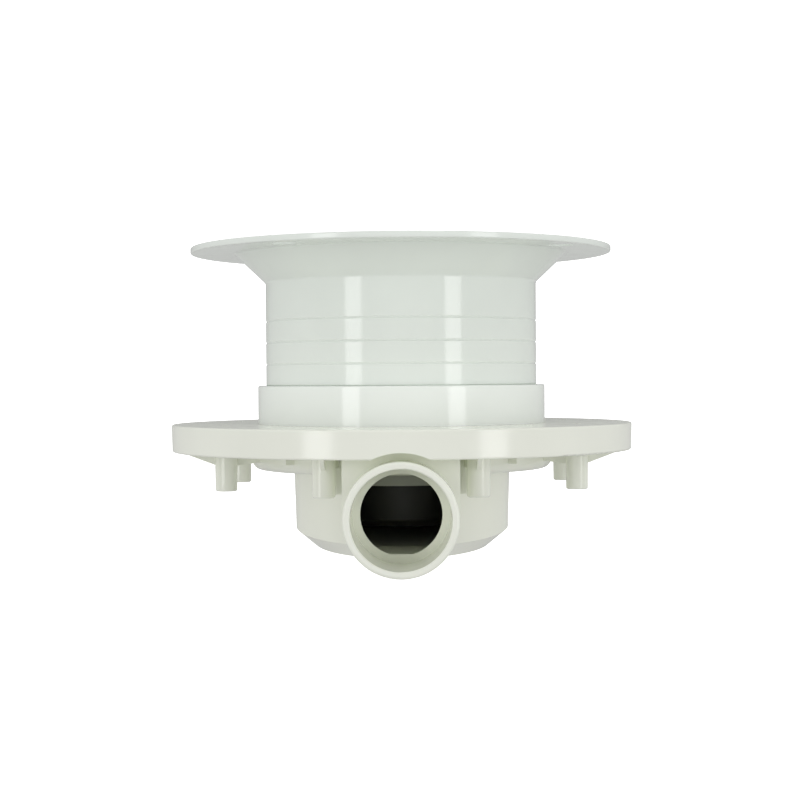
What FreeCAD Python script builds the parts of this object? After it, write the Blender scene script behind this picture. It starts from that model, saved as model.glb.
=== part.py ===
import FreeCAD, Part
import math
import os

# Floor drain with a telescopic neck, in millimetres.
# The origin is the centre of the lower flange's top face, +Z is up and the outlet faces -Y.

# Driving dimensions: lower flange and its skirt
flange_radius = 128.8
plate = 4.0
skirt_height = 15.0
skirt_wall = 3.3
skirt_draft = 0.4
rim_rounding = 1.0
edge_bevel = 0.7

# Driving dimensions: screw bosses under the flange
boss_circle_radius = 102.7
boss_count = 8
boss_radius = 6.3
boss_draft = 0.4
boss_bottom = -35.5
pilot_radius = 2.3
pilot_depth = 30.0
rib = 2.2
gusset_drop = 6.2
dish_rib_angle = 43.0
dish_rib_reach = 6.0
rib_lift = 2.0

# Driving dimensions: dish and pot
wall = 3.0
dish_radius = 84.0
dish_floor = -22.3
dish_corner = 5.0
pot_radius = 60.8
pot_draft = 0.03
pot_bottom = -67.0
pot_flat_radius = 49.0
pot_chamfer_slope = 1.16
floor_slope = 5.6

# Driving dimensions: outlet for a 50 mm pipe
outlet_height = -44.4
pipe_radius = 25.0
socket_clearance = 0.1
socket_radius = 28.8
socket_mouth = 130.0
socket_stop = 93.0
housing_half_width = 29.5
housing_front = 112.0
web_front = 81.0
passage_radius = 21.0
passage_floor = -64.6
passage_headroom = 0.6
notch_radius = 33.0
lip_rounding = 1.5
mouth_rounding = 0.8

# Driving dimensions: neck and the collar that guides it
neck_radius = 76.0
neck_wall = 3.5
slip = 0.3
collar_top = 21.2
collar_wall = 4.3
lip_width = 3.0
groove_pitch = 12.0
groove_count = 6
lowest_groove = -3.0
groove_depth = 0.6
cone_foot = 78.5
cone_radius = 93.0
cone_rounding = 1.2
top_height = 98.0
top_flange = 3.3
top_flange_radius = 117.6
top_hole_radius = 6.5
top_hole_circle = 103.5
top_hole_count = 4
first_top_hole = -35.0

# Driving dimensions: neck seal
seal_groove_bottom = 12.5
seal_groove_height = 4.5
seal_groove_depth = 2.6
seal_band = 1.0
seal_lip = 1.1

# Driving dimensions: grate
grate_recess_radius = 87.5
grate_thickness = 5.0
grate_deck = 3.2
grate_rim = 6.0
slot_width = 7.0
slot_pitch = 14.0
slot_rings = 5
first_slot_radius = 18.0
spoke_count = 8
spoke_width = 6.0

# Driving dimensions: trap in the pot
gasket_thickness = 1.5
gasket_inner = 58.5
gasket_outer = 68.5
seat_flange_radius = 70.0
seat_wall = 2.5
skirt_outer = 55.5
skirt_bottom = -32.3
ledge_width = 2.0
ledge_height = 2.0
dip_tube_radius = 26.0
dip_tube_bottom = -47.0
funnel_drop = 6.5
cup_rim_radius = 44.0
cup_foot_radius = 42.0
cup_bottom = -55.5
cup_wall = 2.0
lug_count = 4
lug_width = 12.0
lug_height = 2.3

# Values that follow from them
skirt_inner_radius = flange_radius - skirt_wall
dish_inner = dish_radius - wall
dish_bottom = dish_floor - wall
bore_radius = pipe_radius + socket_clearance
collar_inner = neck_radius + slip
collar_outer = collar_inner + collar_wall
lip_top = dish_floor + lip_width
neck_inner = neck_radius - neck_wall
flange_underside = top_height - top_flange
grate_seat = top_height - grate_thickness
seat_bottom = dish_floor + gasket_thickness
seat_top = seat_bottom + seat_wall
ledge_top = skirt_bottom + ledge_height
skirt_inner = skirt_outer - seat_wall
ledge_inner = skirt_inner - ledge_width

# How far cutting shapes run past the face that they cut
overshoot = 1.0


def point(corner):
    return FreeCAD.Vector(corner[0], 0, corner[1])


def rounded(radius, height, size):
    """Corner of an outline that is rounded to this radius."""
    return (radius, height, size, True)


def bevelled(radius, height, size):
    """Corner of an outline that is cut off flat, as far back as a rounding of this radius would reach."""
    return (radius, height, size, False)


def outline_wire(corners):
    """Closed outline of corners, each a plain (radius, height) or one that is rounded or bevelled."""
    edges = []
    starts = []
    ends = []
    for index, corner in enumerate(corners):
        here = point(corner)
        if len(corner) == 2:
            starts.append(here)
            ends.append(here)
            continue
        size, is_round = corner[2:]
        back = (point(corners[index - 1]) - here).normalize()
        ahead = (point(corners[(index + 1) % len(corners)]) - here).normalize()
        half_angle = back.getAngle(ahead) / 2
        reach = size / math.tan(half_angle)
        starts.append(here + back * reach)
        ends.append(here + ahead * reach)
        if is_round:
            inward = (back + ahead).normalize()
            middle = here + inward * (size / math.sin(half_angle) - size)
            edges.append(Part.Arc(starts[-1], middle, ends[-1]).toShape())
        else:
            edges.append(Part.LineSegment(starts[-1], ends[-1]).toShape())
    for index, start in enumerate(ends):
        finish = starts[(index + 1) % len(corners)]
        if start.distanceToPoint(finish) > 1e-6:
            edges.append(Part.LineSegment(start, finish).toShape())
    return Part.Wire(Part.__sortEdges__(edges))


def turned(corners):
    """Solid of revolution about Z."""
    face = Part.Face(outline_wire(corners))
    return face.revolve(FreeCAD.Vector(0, 0, 0), FreeCAD.Vector(0, 0, 1), 360)


def turn(shape, degrees):
    """Copy of a shape turned about Z from the front, towards +X."""
    copy = shape.copy()
    copy.rotate(FreeCAD.Vector(0, 0, 0), FreeCAD.Vector(0, 0, 1), degrees)
    return copy


def radial_rib(corners, thickness):
    """Flat rib in the radial plane that faces the front."""
    plate_shape = Part.Face(outline_wire(corners)).extrude(FreeCAD.Vector(0, thickness, 0))
    plate_shape.translate(FreeCAD.Vector(0, -thickness / 2, 0))
    return turn(plate_shape, -90)


def along_outlet(radius, start, finish):
    """Cylinder on the outlet's axis, between two distances in front of the origin."""
    base = FreeCAD.Vector(0, -start, outlet_height)
    return Part.makeCylinder(radius, finish - start, base, FreeCAD.Vector(0, -1, 0))


def outlet_turned(corners):
    """Solid of revolution about the outlet's axis, with heights counted forwards from the origin."""
    shape = turned(corners)
    shape.rotate(FreeCAD.Vector(0, 0, 0), FreeCAD.Vector(1, 0, 0), 90)
    shape.translate(FreeCAD.Vector(0, 0, outlet_height))
    return shape


def pot_form(inset):
    """Drafted pot with a chamfered floor that slopes down to the outlet, drawn in by the inset."""
    top = dish_floor + inset
    low = pot_bottom - pot_flat_radius
    radius = pot_radius - inset
    side = turned([
        (0, top),
        (radius, top),
        (radius + pot_draft * (low - top), low),
        (0, low),
    ])
    flat = pot_flat_radius - inset * (math.hypot(1, pot_chamfer_slope) - pot_chamfer_slope)
    rise = pot_flat_radius
    cup = turned([
        (0, 0),
        (flat, 0),
        (flat + pot_chamfer_slope * rise, rise),
        (0, 2 * rise),
    ])
    cup.rotate(FreeCAD.Vector(0, 0, 0), FreeCAD.Vector(1, 0, 0), floor_slope)
    cup.translate(FreeCAD.Vector(0, 0, pot_bottom + inset))
    return side.common(cup)


def flange_form():
    """Flange, skirt and dish as one solid, before it is hollowed."""
    return turned([
        (0, 0),
        rounded(flange_radius, 0, rim_rounding),
        rounded(flange_radius - skirt_draft, -skirt_height, rim_rounding),
        bevelled(skirt_inner_radius, -skirt_height, edge_bevel),
        (skirt_inner_radius, -plate),
        (dish_radius, -plate),
        rounded(dish_radius, dish_bottom, dish_corner),
        (0, dish_bottom),
    ])


def screw_boss(side):
    """Boss beside the front, on the +X side for 1 and the -X side for -1, with its gussets."""
    angle = side * 180 / boss_count
    across = boss_circle_radius * math.sin(math.radians(angle))
    ahead = boss_circle_radius * math.cos(math.radians(angle))
    boss = turned([
        (0, -plate / 2),
        (boss_radius, -plate / 2),
        bevelled(boss_radius - boss_draft, boss_bottom, edge_bevel),
        (0, boss_bottom),
    ])
    boss.translate(FreeCAD.Vector(across, -ahead, 0))
    skirt_reach = math.sqrt(skirt_inner_radius ** 2 - across ** 2) + rim_rounding
    gusset_bottom = -skirt_height - gusset_drop
    gusset = radial_rib([
        (ahead, -plate / 2),
        (skirt_reach, -plate / 2),
        (skirt_reach, -skirt_height + rim_rounding),
        (ahead + boss_radius, gusset_bottom),
        (ahead, gusset_bottom),
    ], rib)
    gusset.translate(FreeCAD.Vector(across, 0, 0))
    dish_gusset = radial_rib([
        (dish_inner + wall / 2, -plate / 2),
        (boss_circle_radius, -plate / 2),
        (boss_circle_radius, dish_floor),
        (dish_inner + wall / 2, dish_floor + rib_lift),
    ], rib)
    return boss.fuse([gusset, turn(dish_gusset, angle)])


def housing_webs():
    """Two webs that stand out from the sides of the outlet housing, behind the front bosses."""
    across = boss_circle_radius * math.sin(math.pi / boss_count)
    return Part.makeBox(
        2 * across, rib, -plate / 2 - boss_bottom - edge_bevel,
        FreeCAD.Vector(-across, -web_front, boss_bottom + edge_bevel))


def dish_rib():
    """Short post at the front in the corner between the dish and the flange."""
    return radial_rib([
        (dish_inner + wall / 2, -plate / 2),
        (dish_radius + dish_rib_reach, -plate / 2),
        (dish_radius + dish_rib_reach, dish_floor + rib_lift),
        (dish_inner + wall / 2, dish_floor + rib_lift),
    ], rib)


def outlet_housing():
    """Round below the outlet's axis and straight-sided above it, with the socket in front."""
    back = pot_radius - 2 * wall
    round_part = along_outlet(housing_half_width, back, housing_front)
    straight_part = Part.makeBox(
        2 * housing_half_width, housing_front - back, -plate / 2 - outlet_height,
        FreeCAD.Vector(-housing_half_width, -housing_front, outlet_height))
    socket = outlet_turned([
        (0, back),
        (socket_radius, back),
        rounded(socket_radius, socket_mouth, lip_rounding),
        (0, socket_mouth),
    ])
    return round_part.fuse([straight_part, socket])


def outlet_hollow():
    """Pipe bore down to its stop, a hole with a flat floor in the stop, and the way behind it into the pot."""
    bore = outlet_turned([
        (0, socket_stop),
        (bore_radius, socket_stop),
        rounded(bore_radius, socket_mouth, mouth_rounding),
        (bore_radius + mouth_rounding, socket_mouth),
        (bore_radius + mouth_rounding, socket_mouth + overshoot),
        (0, socket_mouth + overshoot),
    ])
    hole = along_outlet(passage_radius, pot_flat_radius, socket_stop)
    half_width = housing_half_width - wall
    length = socket_stop - wall - pot_flat_radius
    ceiling = outlet_height + passage_radius + passage_headroom
    way = along_outlet(half_width, pot_flat_radius, socket_stop - wall)
    upper_way = Part.makeBox(
        2 * half_width, length, ceiling - outlet_height,
        FreeCAD.Vector(-half_width, wall - socket_stop, outlet_height))
    way_limit = Part.makeBox(
        2 * half_width, socket_stop, ceiling - passage_floor,
        FreeCAD.Vector(-half_width, -socket_stop, passage_floor))
    hole_limit = Part.makeBox(
        2 * passage_radius, wall + overshoot, outlet_height + passage_radius - passage_floor,
        FreeCAD.Vector(-passage_radius, -socket_stop, passage_floor))
    way = way.fuse(upper_way).common(way_limit).cut(flange_form())
    return bore.fuse([hole.common(hole_limit), way])


def drain_body():
    quarters = boss_count // 2
    bosses = [turn(screw_boss(side), index * 360 / quarters) for index in range(quarters) for side in (1, -1)]
    rib_angles = (dish_rib_angle, -dish_rib_angle, 180 + dish_rib_angle, 180 - dish_rib_angle)
    ribs = [turn(dish_rib(), angle) for angle in rib_angles]
    body = flange_form().fuse([pot_form(0), outlet_housing(), housing_webs()] + bosses + ribs)

    dish = Part.makeCylinder(dish_inner, overshoot - dish_floor, FreeCAD.Vector(0, 0, dish_floor))
    notch = along_outlet(notch_radius, flange_radius - 2 * skirt_wall, flange_radius + overshoot)
    notch = notch.cut(along_outlet(socket_radius, 0, socket_mouth))
    pilot = Part.makeCylinder(
        pilot_radius, pilot_depth, FreeCAD.Vector(0, -boss_circle_radius, 0), FreeCAD.Vector(0, 0, -1))
    pilots = [turn(pilot, (index + 0.5) * 360 / boss_count) for index in range(boss_count)]
    return body.cut([dish, pot_form(wall), outlet_hollow(), notch] + pilots).removeSplitter()


def collar():
    groove_radius = collar_inner + seal_groove_depth
    groove_top = seal_groove_bottom + seal_groove_height
    return turned([
        (collar_inner - lip_width, dish_floor),
        (collar_outer, dish_floor),
        bevelled(collar_outer, collar_top, edge_bevel),
        bevelled(collar_inner, collar_top, edge_bevel),
        (collar_inner, groove_top),
        (groove_radius, groove_top),
        (groove_radius, seal_groove_bottom),
        (collar_inner, seal_groove_bottom),
        (collar_inner, lip_top),
        (collar_inner - lip_width, lip_top),
    ])


def neck():
    """Tube with cutting grooves, cone and flat top flange with the grate's recess."""
    outline = [(neck_inner, lip_top), bevelled(neck_radius, lip_top, edge_bevel)]
    for index in range(groove_count):
        height = lowest_groove + index * groove_pitch
        outline += [
            (neck_radius, height - groove_depth),
            (neck_radius - groove_depth, height),
            (neck_radius, height + groove_depth),
        ]
    seat_inner = grate_recess_radius - neck_wall
    cone_slope = (flange_underside - cone_foot) / (cone_radius - neck_radius)
    inner_foot = cone_foot + neck_wall * (math.hypot(1, cone_slope) - cone_slope)
    inner_top = inner_foot + (seat_inner - neck_inner) * cone_slope
    outline += [
        (neck_radius, cone_foot),
        rounded(cone_radius, flange_underside, cone_rounding),
        bevelled(top_flange_radius, flange_underside, edge_bevel),
        bevelled(top_flange_radius, top_height, edge_bevel),
        (grate_recess_radius, top_height),
        (grate_recess_radius, grate_seat),
        (seat_inner, grate_seat),
        (seat_inner, inner_top),
        (neck_inner, inner_foot),
    ]
    hole = Part.makeCylinder(
        top_hole_radius, top_flange + 2 * overshoot,
        FreeCAD.Vector(0, -top_hole_circle, flange_underside - overshoot))
    step = 360 / top_hole_count
    holes = [turn(hole, first_top_hole + index * step) for index in range(top_hole_count)]
    return turned(outline).cut(holes)


def neck_seal():
    """Rubber ring with a lip that leans in to the neck."""
    outer = collar_inner + seal_groove_depth - slip
    top = seal_groove_bottom + seal_groove_height - slip
    inner = neck_radius + slip
    return turned([
        (outer, seal_groove_bottom),
        (outer, top),
        (outer - seal_band, top),
        (inner, top - seal_lip),
        (inner, top - 2 * seal_lip),
        (outer - seal_band, seal_groove_bottom + seal_band),
        (outer - seal_band, seal_groove_bottom),
    ])


def trap_gasket():
    return turned([
        (gasket_inner, dish_floor),
        (gasket_outer, dish_floor),
        (gasket_outer, seat_bottom),
        (gasket_inner, seat_bottom),
    ])


def trap_seat():
    """Flange, funnel, dip tube and a skirt with a bayonet ledge."""
    tube_inner = dip_tube_radius - cup_wall
    funnel_low = seat_top - funnel_drop
    seat = turned([
        (seat_flange_radius, seat_bottom),
        bevelled(seat_flange_radius, seat_top, edge_bevel),
        (skirt_inner, seat_top),
        (tube_inner, funnel_low),
        (tube_inner, dip_tube_bottom),
        (dip_tube_radius, dip_tube_bottom),
        (dip_tube_radius, funnel_low - cup_wall),
        (skirt_inner, seat_top - seat_wall),
        (skirt_inner, ledge_top),
        (ledge_inner, ledge_top),
        (ledge_inner, skirt_bottom),
        (skirt_outer, skirt_bottom),
        (skirt_outer, seat_bottom),
    ])
    entry_width = lug_width + 2 * overshoot
    entry = Part.makeBox(
        entry_width, skirt_inner - dip_tube_radius - 2 * ledge_width, 2 * ledge_height,
        FreeCAD.Vector(-entry_width / 2, -skirt_inner, skirt_bottom - ledge_height / 2))
    inside = Part.makeCylinder(
        skirt_inner, 4 * ledge_height, FreeCAD.Vector(0, 0, skirt_bottom - ledge_height))
    entry = entry.common(inside)
    step = 360 / lug_count
    return seat.cut([turn(entry, index * step) for index in range(lug_count)])


def trap_cup():
    """Cup that hangs on the ledge by its lugs and keeps the water seal."""
    rim = ledge_top
    cup = turned([
        (0, cup_bottom),
        bevelled(cup_foot_radius, cup_bottom, 2 * cup_wall),
        (cup_rim_radius, rim),
        (cup_rim_radius - cup_wall, rim),
        bevelled(cup_foot_radius - cup_wall, cup_bottom + cup_wall, cup_wall),
        (0, cup_bottom + cup_wall),
    ])
    lug_reach = skirt_inner - slip
    ring = Part.makeCylinder(lug_reach, lug_height, FreeCAD.Vector(0, 0, rim))
    ring = ring.cut(Part.makeCylinder(cup_rim_radius - cup_wall, lug_height, FreeCAD.Vector(0, 0, rim)))
    block = Part.makeBox(
        lug_width, lug_reach, lug_height, FreeCAD.Vector(-lug_width / 2, -lug_reach, rim))
    lug = ring.common(block)
    step = 360 / lug_count
    return cup.fuse([turn(lug, (index + 0.5) * step) for index in range(lug_count)]).removeSplitter()


def grate():
    """Drop-in disc with rings of slots between spokes, a thicker rim and ribs under the spokes."""
    radius = grate_recess_radius - slip
    deck_bottom = top_height - grate_deck
    disc = turned([
        (0, deck_bottom),
        (radius - grate_rim, deck_bottom),
        (radius - grate_rim, grate_seat),
        (radius, grate_seat),
        bevelled(radius, top_height, edge_bevel),
        (0, top_height),
    ])
    ribs = []
    slots = []
    step = 360 / spoke_count
    for index in range(spoke_count):
        spoke_rib = radial_rib([
            (first_slot_radius / 2, grate_seat),
            (radius - grate_rim / 2, grate_seat),
            (radius - grate_rim / 2, top_height - grate_deck / 2),
            (first_slot_radius / 2, top_height - grate_deck / 2),
        ], rib)
        ribs.append(turn(spoke_rib, index * step))
    spokes = []
    for index in range(spoke_count // 2):
        bar = Part.makeBox(
            spoke_width, 2 * radius, 2 * grate_thickness,
            FreeCAD.Vector(-spoke_width / 2, -radius, grate_seat - grate_thickness / 2))
        spokes.append(turn(bar, index * step))
    for index in range(slot_rings):
        inner = first_slot_radius + index * slot_pitch
        base = FreeCAD.Vector(0, 0, grate_seat - overshoot)
        depth = grate_thickness + 2 * overshoot
        ring = Part.makeCylinder(inner + slot_width, depth, base).cut(Part.makeCylinder(inner, depth, base))
        slots.append(ring.cut(spokes))
    return disc.fuse(ribs).cut(slots).removeSplitter()


os.makedirs("parts", exist_ok=True)
for build in (drain_body, collar, neck, neck_seal, trap_gasket, trap_seat, trap_cup, grate):
    shape = build()
    print(build.__name__, shape.isValid(), len(shape.Solids), round(shape.Volume), shape.BoundBox)
    shape.exportStep("parts/" + build.__name__ + ".step")
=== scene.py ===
import math

import bpy
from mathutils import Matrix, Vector


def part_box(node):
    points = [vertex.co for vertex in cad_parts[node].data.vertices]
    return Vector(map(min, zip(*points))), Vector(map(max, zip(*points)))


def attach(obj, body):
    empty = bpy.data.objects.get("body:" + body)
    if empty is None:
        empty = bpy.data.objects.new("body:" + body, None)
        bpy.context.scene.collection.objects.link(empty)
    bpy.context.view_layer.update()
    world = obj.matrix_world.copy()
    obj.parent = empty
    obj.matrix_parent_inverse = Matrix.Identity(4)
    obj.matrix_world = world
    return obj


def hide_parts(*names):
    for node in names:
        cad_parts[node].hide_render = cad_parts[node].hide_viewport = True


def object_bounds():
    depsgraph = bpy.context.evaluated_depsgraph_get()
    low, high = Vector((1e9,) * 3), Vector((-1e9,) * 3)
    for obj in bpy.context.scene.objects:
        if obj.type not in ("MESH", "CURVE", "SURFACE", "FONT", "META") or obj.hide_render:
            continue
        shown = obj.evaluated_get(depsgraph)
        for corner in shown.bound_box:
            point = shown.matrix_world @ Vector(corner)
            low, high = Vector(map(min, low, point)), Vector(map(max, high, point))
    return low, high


# Floor drain with a telescopic neck, in metres. The outlet faces -Y, towards the camera.
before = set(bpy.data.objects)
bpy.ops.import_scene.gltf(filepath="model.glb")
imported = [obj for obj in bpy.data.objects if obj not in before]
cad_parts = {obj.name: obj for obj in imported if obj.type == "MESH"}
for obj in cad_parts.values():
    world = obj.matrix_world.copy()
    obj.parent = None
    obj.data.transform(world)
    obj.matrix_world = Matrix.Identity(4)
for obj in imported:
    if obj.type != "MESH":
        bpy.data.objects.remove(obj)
cad_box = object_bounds()

MM = 0.001
FULL_TURN = 2 * math.pi

# Camera, worked out from the photograph's perspective
IMAGE_SIDE = 800
FOCAL_PIXELS = 1650
HORIZON_PIXEL = 377
AXIS_PIXEL = 401.3
CAMERA_DISTANCE = 932 * MM
CAMERA_HEIGHT = 25.7 * MM
CAMERA_ASIDE = 4.5 * MM
CAMERA_ROLL = math.radians(0.38)
SENSOR = 36.0

# Neck, in millimetres
NECK_RADIUS = 76.0
NECK_WALL = 3.5
GROOVE_COUNT = 6
GROOVE_PITCH = 12.0
LOWEST_GROOVE = -3.0
GROOVE_DEPTH = 0.6
CONE_FOOT = 78.5
CONE_RADIUS = 93.0
TOP_FLANGE = 3.3
GRATE_RECESS = 87.5
GRATE_DEPTH = 5.0
TOP_HOLE_RADIUS = 6.5
TOP_HOLE_CIRCLE = 103.5
TOP_HOLE_COUNT = 4
FIRST_TOP_HOLE = math.radians(-35)

# Collar and seal, in millimetres
COLLAR_INNER = 76.3
COLLAR_LIP = 3.0
SEAL_GROOVE_BOTTOM = 12.5
SEAL_GROOVE_TOP = 17.0
SEAL_GROOVE_RADIUS = 78.9

# Grate, in millimetres. The spokes are buried in the rim by the last length.
GRATE_DECK = 3.2
SLOT_WIDTH = 7.0
SLOT_PITCH = 14.0
SLOT_RINGS = 5
FIRST_SLOT = 18.0
SPOKE_COUNT = 8
SPOKE_WIDTH = 6.0
SPOKE_RIB = 2.2
SPOKE_BURY = 3.0

# Roundings of moulded edges, in millimetres
SOFT_EDGE = 0.8
CRISP_EDGE = 0.35
CONE_ROUNDING = 1.2
FOOT_ROUNDING = 0.8
GROOVE_ROUNDING = GROOVE_DEPTH / 3

# Modelling: distances in millimetres at which points are the same, how far the pins that cut holes
# stand clear of a flange and past it, steps of a full turn, and the angles that tell faces apart
SAME_POINT = 0.01
SAME_CAD_POINT = 0.005
PIN_CLEARANCE = 0.02
PIN_OVERSHOOT = 1.0
RING_STEPS = 192
HOLE_STEPS = 48
FLAT_ANGLE = math.radians(1)
CREASE_ANGLE = math.radians(30)
SHARP_ANGLE = math.radians(35)

# Studio: a tent whose glow depends on direction, two upright strips and a brow light above the camera.
# Each stop of the tent is a share of the way, from front to back or from below to above, and its glow.
FLOOR_RADIUS = 4.0
FLOOR_SIDES = 96
BACKDROP_RADIUS = 6.0
BACKDROP_SEGMENTS = 48
BACKDROP_RINGS = 24
FRONT_TO_BACK = ((0.0, 0.36), (0.05, 0.22), (0.125, 0.06), (0.3, 0.16), (0.5, 0.55), (1.0, 0.15))
BELOW_TO_ABOVE = ((0.0, 0.21), (0.25, 0.19), (0.46, 0.42), (0.52, 0.26), (0.75, 0.33), (1.0, 0.22))
STRIP_AZIMUTHS = {"strip_left": math.radians(-38.5), "strip_right": math.radians(43.0)}
STRIP_DISTANCE = 1.5
STRIP_WIDTH = 0.36
STRIP_HEIGHT = 1.2
STRIP_RADIANCE = 3.65
BROW_PLACE = (0, -0.9, 1.5)
BROW_WIDTH = 1.0
BROW_HEIGHT = 0.5
BROW_RADIANCE = 2.4
LIGHT_BOUNCES = 16

# Finishes: linear colours, and the least and greatest roughness of each plastic
PURE_WHITE = (1.0, 1.0, 1.0)
PAPER_SHADE = 0.9
BODY_WHITE = (0.892, 0.91, 0.818)
NECK_WHITE = (0.864, 0.91, 0.858)
# The collar's white is the neck's plastic painted paler: painted light for the brighter light that the
# flange below throws onto the collar.
COLLAR_WHITE_WITH_PAINTED_LIGHT = (0.93, 0.965, 0.925)
# The trap's white plastic is painted mid grey: painted shade for the shadow it lies in inside the pot.
TRAP_WHITE_IN_PAINTED_SHADE = (0.42, 0.43, 0.395)
TRAP_BLACK = (0.012, 0.012, 0.011)
RUBBER_BLACK = (0.02, 0.02, 0.02)
BODY_GLOSS = (0.13, 0.18)
NECK_GLOSS = (0.08, 0.12)
TRAP_GLOSS = (0.4, 0.5)
RUBBER_GLOSS = (0.5, 0.6)

# Surface of moulded plastic: clouds in the pigment, flow marks in the gloss and a fine skin
PLASTIC_IOR = 1.48
CLOUD_SCALE = 26
CLOUD_DETAIL = 4
CLOUD_DARKEST = 0.985
CLOUD_PALEST = 1.01
FLOW_SCALE = 90
FLOW_DETAIL = 3
SKIN_SCALE = 420
SKIN_DETAIL = 2
SKIN_STRENGTH = 0.03
SKIN_HEIGHT = 0.1 * MM
NOISE_LOW = 0.3
NOISE_HIGH = 0.7


def select_only(piece):
    bpy.ops.object.select_all(action="DESELECT")
    piece.select_set(True)
    bpy.context.view_layer.objects.active = piece


def draw_profile(name, corners):
    """Closed outline in the XZ plane, drawn by extruding one point from corner to corner."""
    bpy.ops.object.select_all(action="DESELECT")
    bpy.ops.mesh.primitive_plane_add(size=MM)
    piece = bpy.context.object
    piece.name = name
    piece.data.name = name
    bpy.ops.object.mode_set(mode="EDIT")
    bpy.ops.mesh.merge(type="CENTER")
    bpy.ops.transform.translate(value=(corners[0][0] * MM, 0, corners[0][1] * MM))
    for before, after in zip(corners, corners[1:] + corners[:1]):
        step = ((after[0] - before[0]) * MM, 0, (after[1] - before[1]) * MM)
        bpy.ops.mesh.extrude_region_move(TRANSFORM_OT_translate={"value": step})
    bpy.ops.mesh.select_all(action="SELECT")
    bpy.ops.mesh.remove_doubles(threshold=SAME_POINT * MM)
    bpy.ops.object.mode_set(mode="OBJECT")
    return piece


def round_corners(piece, corners, size, segments):
    """Rounds the outline's corners at these places."""
    bpy.ops.object.mode_set(mode="EDIT")
    bpy.ops.mesh.select_mode(type="VERT")
    bpy.ops.mesh.select_all(action="DESELECT")
    bpy.ops.object.mode_set(mode="OBJECT")
    for vertex in piece.data.vertices:
        vertex.select = any(
            math.hypot(vertex.co.x - x * MM, vertex.co.z - z * MM) < SAME_POINT * MM for x, z in corners)
    bpy.ops.object.mode_set(mode="EDIT")
    bpy.ops.mesh.bevel(offset=size * MM, segments=segments, affect="VERTICES")
    bpy.ops.object.mode_set(mode="OBJECT")


def spin_round(piece, steps):
    """Spins the outline about Z into a closed ring or disc."""
    bpy.ops.object.mode_set(mode="EDIT")
    bpy.ops.mesh.select_all(action="SELECT")
    bpy.ops.mesh.spin(steps=steps, angle=FULL_TURN, center=(0, 0, 0), axis=(0, 0, 1))
    bpy.ops.mesh.select_all(action="SELECT")
    bpy.ops.mesh.remove_doubles(threshold=SAME_POINT * MM)
    bpy.ops.mesh.delete_loose()
    bpy.ops.mesh.select_all(action="SELECT")
    bpy.ops.mesh.normals_make_consistent(inside=False)
    bpy.ops.object.mode_set(mode="OBJECT")


def repeat_round(count):
    """Repeats what is selected in edit mode evenly about Z."""
    for index in range(1, count):
        bpy.ops.mesh.duplicate()
        bpy.ops.transform.rotate(
            value=FULL_TURN / count, orient_axis="Z", orient_type="GLOBAL", center_override=(0, 0, 0))


def combine(piece, other, operation):
    """Cuts another shape out of a piece or unites them, and deletes the other shape."""
    select_only(piece)
    bpy.ops.object.modifier_add(type="BOOLEAN")
    boolean = piece.modifiers[-1]
    boolean.operation = operation
    boolean.solver = "EXACT"
    boolean.object = other
    bpy.ops.object.modifier_apply(modifier=boolean.name)
    select_only(other)
    bpy.ops.object.delete()


def finish_piece(piece, body, node, material):
    """Smooth shading with crisp creases, then its finish and its place in the frame."""
    select_only(piece)
    bpy.ops.object.shade_smooth_by_angle(angle=CREASE_ANGLE)
    bpy.ops.object.modifier_add(type="WEIGHTED_NORMAL")
    weighted = piece.modifiers[-1]
    weighted.keep_sharp = True
    bpy.ops.object.modifier_apply(modifier=weighted.name)
    piece.data.materials.clear()
    piece.data.materials.append(material)
    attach(piece, body)
    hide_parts(node)


def soften(node, name, body, material):
    """Copy of a CAD node whose sharp moulded edges are rounded off."""
    piece = bpy.data.objects.new(name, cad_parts[node].data.copy())
    piece.data.name = name
    bpy.context.collection.objects.link(piece)
    select_only(piece)
    bpy.ops.object.mode_set(mode="EDIT")
    bpy.ops.mesh.select_all(action="SELECT")
    bpy.ops.mesh.remove_doubles(threshold=SAME_CAD_POINT * MM)
    bpy.ops.mesh.normals_make_consistent(inside=False)
    bpy.ops.mesh.dissolve_limited(angle_limit=FLAT_ANGLE)
    bpy.ops.object.mode_set(mode="OBJECT")
    bpy.ops.object.modifier_add(type="BEVEL")
    bevel = piece.modifiers[-1]
    bevel.width = CRISP_EDGE * MM
    bevel.segments = 2
    bevel.limit_method = "ANGLE"
    bevel.angle_limit = SHARP_ANGLE
    bevel.use_clamp_overlap = False
    bpy.ops.object.modifier_apply(modifier=bevel.name)
    finish_piece(piece, body, node, material)


def flange_hole_cutter(underside, top):
    """Pins that leave holes with rounded edges through the top flange."""
    wide = TOP_HOLE_RADIUS + 2 * CRISP_EDGE
    low_end = underside - PIN_OVERSHOOT
    high_end = top + PIN_OVERSHOOT
    low_corner = (TOP_HOLE_RADIUS, underside - PIN_CLEARANCE)
    high_corner = (TOP_HOLE_RADIUS, top + PIN_CLEARANCE)
    pins = draw_profile("hole_pins", [
        (0, low_end), (wide, low_end), (wide, underside - PIN_CLEARANCE), low_corner,
        high_corner, (wide, top + PIN_CLEARANCE), (wide, high_end), (0, high_end),
    ])
    round_corners(pins, [low_corner, high_corner], CRISP_EDGE, segments=3)
    spin_round(pins, HOLE_STEPS)
    bpy.ops.object.mode_set(mode="EDIT")
    bpy.ops.mesh.select_all(action="SELECT")
    circle = TOP_HOLE_CIRCLE * MM
    place = (circle * math.sin(FIRST_TOP_HOLE), -circle * math.cos(FIRST_TOP_HOLE), 0)
    bpy.ops.transform.translate(value=place)
    repeat_round(TOP_HOLE_COUNT)
    bpy.ops.object.mode_set(mode="OBJECT")
    return pins


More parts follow.
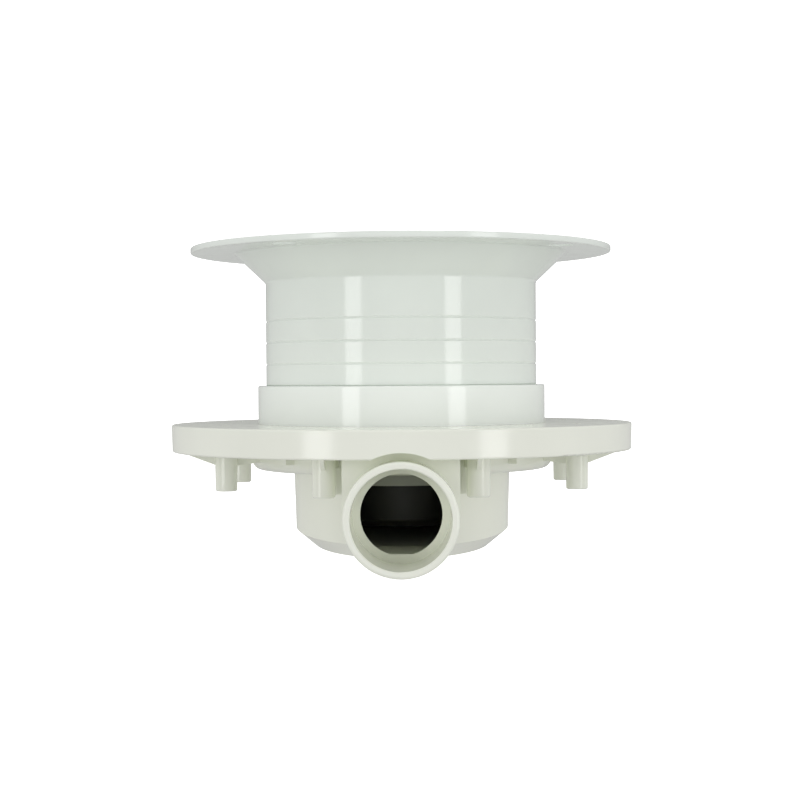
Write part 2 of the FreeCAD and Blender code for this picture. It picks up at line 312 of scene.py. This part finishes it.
def model_neck(material):
    """Tube with cutting grooves, cone and top flange with the grate's recess."""
    low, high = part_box("neck")
    bottom = low.z / MM
    top = high.z / MM
    rim = high.x / MM
    underside = top - TOP_FLANGE
    inner = NECK_RADIUS - NECK_WALL
    seat = top - GRATE_DEPTH
    seat_inner = GRATE_RECESS - NECK_WALL
    slope = (underside - CONE_FOOT) / (CONE_RADIUS - NECK_RADIUS)
    inner_foot = CONE_FOOT + NECK_WALL * (math.hypot(1, slope) - slope)
    inner_top = inner_foot + (seat_inner - inner) * slope

    groove_lips = []
    groove_roots = []
    grooves = []
    for index in range(GROOVE_COUNT):
        height = LOWEST_GROOVE + index * GROOVE_PITCH
        lower_lip = (NECK_RADIUS, height - GROOVE_DEPTH)
        root = (NECK_RADIUS - GROOVE_DEPTH, height)
        upper_lip = (NECK_RADIUS, height + GROOVE_DEPTH)
        grooves += [lower_lip, root, upper_lip]
        groove_lips += [lower_lip, upper_lip]
        groove_roots.append(root)
    foot_edges = [(inner, bottom), (NECK_RADIUS, bottom)]
    cone_foot = (NECK_RADIUS, CONE_FOOT)
    cone_top = (CONE_RADIUS, underside)
    rim_edges = [(rim, underside), (rim, top)]
    recess_edges = [(GRATE_RECESS, top), (seat_inner, seat)]
    inner_foot_edge = (inner, inner_foot)
    outline = foot_edges + grooves + [cone_foot, cone_top] + rim_edges + [
        recess_edges[0], (GRATE_RECESS, seat), recess_edges[1], (seat_inner, inner_top), inner_foot_edge]

    neck = draw_profile("neck_tube", outline)
    round_corners(neck, groove_lips, GROOVE_ROUNDING, segments=2)
    round_corners(neck, groove_roots, GROOVE_ROUNDING, segments=2)
    round_corners(neck, foot_edges + rim_edges, SOFT_EDGE, segments=3)
    round_corners(neck, recess_edges, CRISP_EDGE, segments=2)
    round_corners(neck, [cone_foot, inner_foot_edge], FOOT_ROUNDING, segments=4)
    round_corners(neck, [cone_top], CONE_ROUNDING, segments=6)
    spin_round(neck, RING_STEPS)
    combine(neck, flange_hole_cutter(underside, top), "DIFFERENCE")
    finish_piece(neck, "neck", "neck", material)


def model_collar(material):
    """Ring that guides the neck, with the seal's groove inside and a lip that the neck lands on."""
    low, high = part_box("collar")
    bottom = low.z / MM
    top = high.z / MM
    outer = high.x / MM
    lip_edges = [(COLLAR_INNER - COLLAR_LIP, bottom), (COLLAR_INNER - COLLAR_LIP, bottom + COLLAR_LIP)]
    foot_edge = (outer, bottom)
    top_edges = [(outer, top), (COLLAR_INNER, top)]
    groove = [
        (COLLAR_INNER, SEAL_GROOVE_TOP), (SEAL_GROOVE_RADIUS, SEAL_GROOVE_TOP),
        (SEAL_GROOVE_RADIUS, SEAL_GROOVE_BOTTOM), (COLLAR_INNER, SEAL_GROOVE_BOTTOM),
    ]
    collar = draw_profile("collar_ring", [lip_edges[0], foot_edge] + top_edges + groove + [
        (COLLAR_INNER, bottom + COLLAR_LIP), lip_edges[1]])
    round_corners(collar, top_edges, SOFT_EDGE, segments=4)
    round_corners(collar, lip_edges + [foot_edge, groove[0], groove[3]], CRISP_EDGE, segments=2)
    spin_round(collar, RING_STEPS)
    finish_piece(collar, "drain", "collar", material)


def grate_spokes(seat, deck, top, reach):
    """Spokes with a rib under each, from the hub into the rim."""
    half = SPOKE_WIDTH / 2
    web = SPOKE_RIB / 2
    start = FIRST_SLOT / 2
    rib_edges = [(-web, seat), (web, seat)]
    spoke_edges = [(half, deck), (half, top), (-half, top), (-half, deck)]
    spokes = draw_profile("grate_spokes", rib_edges + [(web, deck)] + spoke_edges + [(-web, deck)])
    round_corners(spokes, rib_edges + spoke_edges, CRISP_EDGE, segments=2)
    bpy.ops.object.mode_set(mode="EDIT")
    bpy.ops.mesh.select_all(action="SELECT")
    bpy.ops.mesh.edge_face_add()
    bpy.ops.transform.translate(value=(0, -start * MM, 0))
    bpy.ops.mesh.extrude_region_move(TRANSFORM_OT_translate={"value": (0, (start - reach) * MM, 0)})
    bpy.ops.mesh.select_all(action="SELECT")
    bpy.ops.mesh.normals_make_consistent(inside=False)
    repeat_round(SPOKE_COUNT)
    bpy.ops.object.mode_set(mode="OBJECT")
    return spokes


def model_grate(material):
    """Hub, rings and thicker rim with slots between them, joined by spokes."""
    low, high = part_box("grate")
    seat = low.z / MM
    top = high.z / MM
    radius = high.x / MM
    deck = top - GRATE_DECK
    bar = SLOT_PITCH - SLOT_WIDTH
    inner_edges = [FIRST_SLOT + SLOT_WIDTH + index * SLOT_PITCH for index in range(SLOT_RINGS)]
    rim_inner = inner_edges[-1]
    sections = [(inner, inner + bar, deck) for inner in inner_edges[:-1]]
    sections.append((rim_inner, radius, seat))

    hub_edges = [(FIRST_SLOT, deck), (FIRST_SLOT, top)]
    grate = draw_profile("slotted_grate", [(0, deck)] + hub_edges + [(0, top)])
    round_corners(grate, hub_edges, CRISP_EDGE, segments=3)
    spin_round(grate, RING_STEPS)
    for inner, outer, underside in sections:
        edges = [(inner, underside), (outer, underside), (outer, top), (inner, top)]
        ring = draw_profile("grate_ring", edges)
        round_corners(ring, edges, CRISP_EDGE, segments=3)
        spin_round(ring, RING_STEPS)
        grate.select_set(True)
        bpy.context.view_layer.objects.active = grate
        bpy.ops.object.join()
    combine(grate, grate_spokes(seat, deck, top, rim_inner + SPOKE_BURY), "UNION")
    finish_piece(grate, "neck", "grate", material)


def shade_of(colour, factor):
    return tuple(channel * factor for channel in colour) + (1.0,)


def surface_noise(tree, place, scale, detail):
    """Noise that is fixed to the piece."""
    noise = tree.nodes.new("ShaderNodeTexNoise")
    noise.inputs["Scale"].default_value = scale
    noise.inputs["Detail"].default_value = detail
    tree.links.new(place.outputs["Object"], noise.inputs["Vector"])
    return noise


def moulded_plastic(name, colour, roughness):
    """Injection-moulded plastic: faintly clouded pigment, uneven gloss and a fine moulded skin."""
    material = bpy.data.materials.new(name)
    material.use_nodes = True
    tree = material.node_tree
    shader = tree.nodes["Principled BSDF"]
    shader.inputs["IOR"].default_value = PLASTIC_IOR
    place = tree.nodes.new("ShaderNodeTexCoord")

    cloud = surface_noise(tree, place, CLOUD_SCALE, CLOUD_DETAIL)
    pigment = tree.nodes.new("ShaderNodeValToRGB")
    pigment.color_ramp.elements[0].position = NOISE_LOW
    pigment.color_ramp.elements[0].color = shade_of(colour, CLOUD_DARKEST)
    pigment.color_ramp.elements[1].position = NOISE_HIGH
    pigment.color_ramp.elements[1].color = shade_of(colour, CLOUD_PALEST)
    tree.links.new(cloud.outputs["Fac"], pigment.inputs["Fac"])
    tree.links.new(pigment.outputs["Color"], shader.inputs["Base Color"])

    flow = surface_noise(tree, place, FLOW_SCALE, FLOW_DETAIL)
    gloss = tree.nodes.new("ShaderNodeMapRange")
    gloss.inputs["From Min"].default_value = NOISE_LOW
    gloss.inputs["From Max"].default_value = NOISE_HIGH
    gloss.inputs["To Min"].default_value = roughness[0]
    gloss.inputs["To Max"].default_value = roughness[1]
    tree.links.new(flow.outputs["Fac"], gloss.inputs["Value"])
    tree.links.new(gloss.outputs["Result"], shader.inputs["Roughness"])

    skin = surface_noise(tree, place, SKIN_SCALE, SKIN_DETAIL)
    bump = tree.nodes.new("ShaderNodeBump")
    bump.inputs["Strength"].default_value = SKIN_STRENGTH
    bump.inputs["Distance"].default_value = SKIN_HEIGHT
    tree.links.new(skin.outputs["Fac"], bump.inputs["Height"])
    tree.links.new(bump.outputs["Normal"], shader.inputs["Normal"])
    return material


def dress(node, material):
    """Gives a CAD node its finish."""
    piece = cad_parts[node]
    piece.data.materials.clear()
    piece.data.materials.append(material)


def glowing_paper():
    """White paper that is lit from behind, so that no shadow shows on it."""
    material = bpy.data.materials.new("studio_paper")
    material.use_nodes = True
    shader = material.node_tree.nodes["Principled BSDF"]
    shader.inputs["Base Color"].default_value = shade_of(PURE_WHITE, PAPER_SHADE)
    shader.inputs["Roughness"].default_value = 1.0
    shader.inputs["Specular IOR Level"].default_value = 0.0
    shader.inputs["Emission Color"].default_value = shade_of(PURE_WHITE, 1.0)
    shader.inputs["Emission Strength"].default_value = 1.0
    return material


def set_the_stage(piece, material):
    """Paper that the camera sees and that neither lights the drain nor shows in its gloss."""
    piece.data.materials.append(material)
    piece.visible_diffuse = False
    piece.visible_glossy = False
    piece.visible_transmission = False
    piece.visible_shadow = False


def studio_paper():
    """Pale round floor under the drain's lowest point, and a round backdrop behind everything."""
    paper = glowing_paper()
    bpy.ops.object.select_all(action="DESELECT")
    bpy.ops.mesh.primitive_circle_add(vertices=FLOOR_SIDES, radius=FLOOR_RADIUS, fill_type="NGON")
    floor = bpy.context.object
    floor.name = "studio_floor"
    floor.location.z = cad_box[0].z
    set_the_stage(floor, paper)
    bpy.ops.object.select_all(action="DESELECT")
    bpy.ops.mesh.primitive_uv_sphere_add(
        segments=BACKDROP_SEGMENTS, ring_count=BACKDROP_RINGS, radius=BACKDROP_RADIUS)
    backdrop = bpy.context.object
    backdrop.name = "studio_backdrop"
    set_the_stage(backdrop, paper)


def tent_glow(tree, direction, axis, stops):
    """Glow of the tent along one axis, from one end to the other."""
    span = tree.nodes.new("ShaderNodeMapRange")
    span.inputs["From Min"].default_value = -1.0
    ramp = tree.nodes.new("ShaderNodeValToRGB")
    glow = tree.nodes.new("ShaderNodeBackground")
    ramp.color_ramp.elements[0].color = shade_of(PURE_WHITE, stops[0][1])
    ramp.color_ramp.elements[1].color = shade_of(PURE_WHITE, stops[-1][1])
    for share, radiance in stops[1:-1]:
        ramp.color_ramp.elements.new(share).color = shade_of(PURE_WHITE, radiance)
    tree.links.new(direction.outputs[axis], span.inputs["Value"])
    tree.links.new(span.outputs["Result"], ramp.inputs["Fac"])
    tree.links.new(ramp.outputs["Color"], glow.inputs["Color"])
    return glow


def studio_tent():
    """Soft light from all round."""
    world = bpy.data.worlds.new("studio_tent")
    bpy.context.scene.world = world
    world.use_nodes = True
    tree = world.node_tree
    tree.nodes.remove(tree.nodes["Background"])
    place = tree.nodes.new("ShaderNodeTexCoord")
    direction = tree.nodes.new("ShaderNodeSeparateXYZ")
    both = tree.nodes.new("ShaderNodeAddShader")
    round_glow = tent_glow(tree, direction, "Y", FRONT_TO_BACK)
    height_glow = tent_glow(tree, direction, "Z", BELOW_TO_ABOVE)
    tree.links.new(place.outputs["Generated"], direction.inputs["Vector"])
    tree.links.new(round_glow.outputs["Background"], both.inputs[0])
    tree.links.new(height_glow.outputs["Background"], both.inputs[1])
    tree.links.new(both.outputs["Shader"], tree.nodes["World Output"].inputs["Surface"])


def soft_panel(name, place, width, height, radiance):
    """Rectangular softbox that faces the drain."""
    bpy.ops.object.light_add(type="AREA")
    lamp = bpy.context.object
    lamp.name = name
    lamp.data.shape = "RECTANGLE"
    lamp.data.size = width
    lamp.data.size_y = height
    lamp.data.energy = radiance * math.pi * width * height
    lamp.location = place
    lamp.rotation_euler = (-Vector(place)).to_track_quat("-Z", "Y").to_euler()


def studio_lights():
    """Brow light above the camera and an upright strip on each side of it."""
    soft_panel("brow_light", BROW_PLACE, BROW_WIDTH, BROW_HEIGHT, BROW_RADIANCE)
    for name, azimuth in STRIP_AZIMUTHS.items():
        place = (STRIP_DISTANCE * math.sin(azimuth), -STRIP_DISTANCE * math.cos(azimuth), 0)
        soft_panel(name, place, STRIP_WIDTH, STRIP_HEIGHT, STRIP_RADIANCE)


def photo_camera():
    """Camera of the photograph: a little to the right of the outlet, a little above the flange."""
    bpy.ops.object.camera_add()
    camera = bpy.context.object
    camera.name = "photo_camera"
    camera.data.sensor_width = SENSOR
    camera.data.lens = SENSOR * FOCAL_PIXELS / IMAGE_SIDE
    camera.location = (CAMERA_ASIDE, -CAMERA_DISTANCE, CAMERA_HEIGHT)
    middle = IMAGE_SIDE / 2
    pitch = math.atan((middle - HORIZON_PIXEL) / FOCAL_PIXELS)
    yaw = math.atan(CAMERA_ASIDE / CAMERA_DISTANCE) + math.atan((AXIS_PIXEL - middle) / FOCAL_PIXELS)
    camera.rotation_euler = (math.pi / 2 - pitch, CAMERA_ROLL, yaw)
    bpy.context.scene.camera = camera


body_white = moulded_plastic("body_white", BODY_WHITE, BODY_GLOSS)
neck_white = moulded_plastic("neck_white", NECK_WHITE, NECK_GLOSS)
# Paler copy of the neck's plastic for the collar, as painted light from the flange below.
collar_white_painted_light = moulded_plastic("collar_white_painted_light", COLLAR_WHITE_WITH_PAINTED_LIGHT, NECK_GLOSS)
# Grey for the trap funnel's white plastic, as painted shade for the pot's shadowed inside.
trap_white = moulded_plastic("trap_white", TRAP_WHITE_IN_PAINTED_SHADE, TRAP_GLOSS)
trap_black = moulded_plastic("trap_black", TRAP_BLACK, TRAP_GLOSS)
rubber = moulded_plastic("seal_rubber", RUBBER_BLACK, RUBBER_GLOSS)
dress("neck_seal", rubber)
dress("trap_gasket", rubber)
dress("drain_body", body_white)
soften("trap_seat", "trap_funnel", "drain", trap_white)
soften("trap_cup", "water_cup", "drain", trap_black)
model_neck(neck_white)
model_collar(collar_white_painted_light)
model_grate(neck_white)

studio_paper()
studio_tent()
studio_lights()
photo_camera()
bpy.context.scene.view_settings.view_transform = "Standard"
bpy.context.scene.cycles.diffuse_bounces = LIGHT_BOUNCES
bpy.context.scene.cycles.max_bounces = LIGHT_BOUNCES
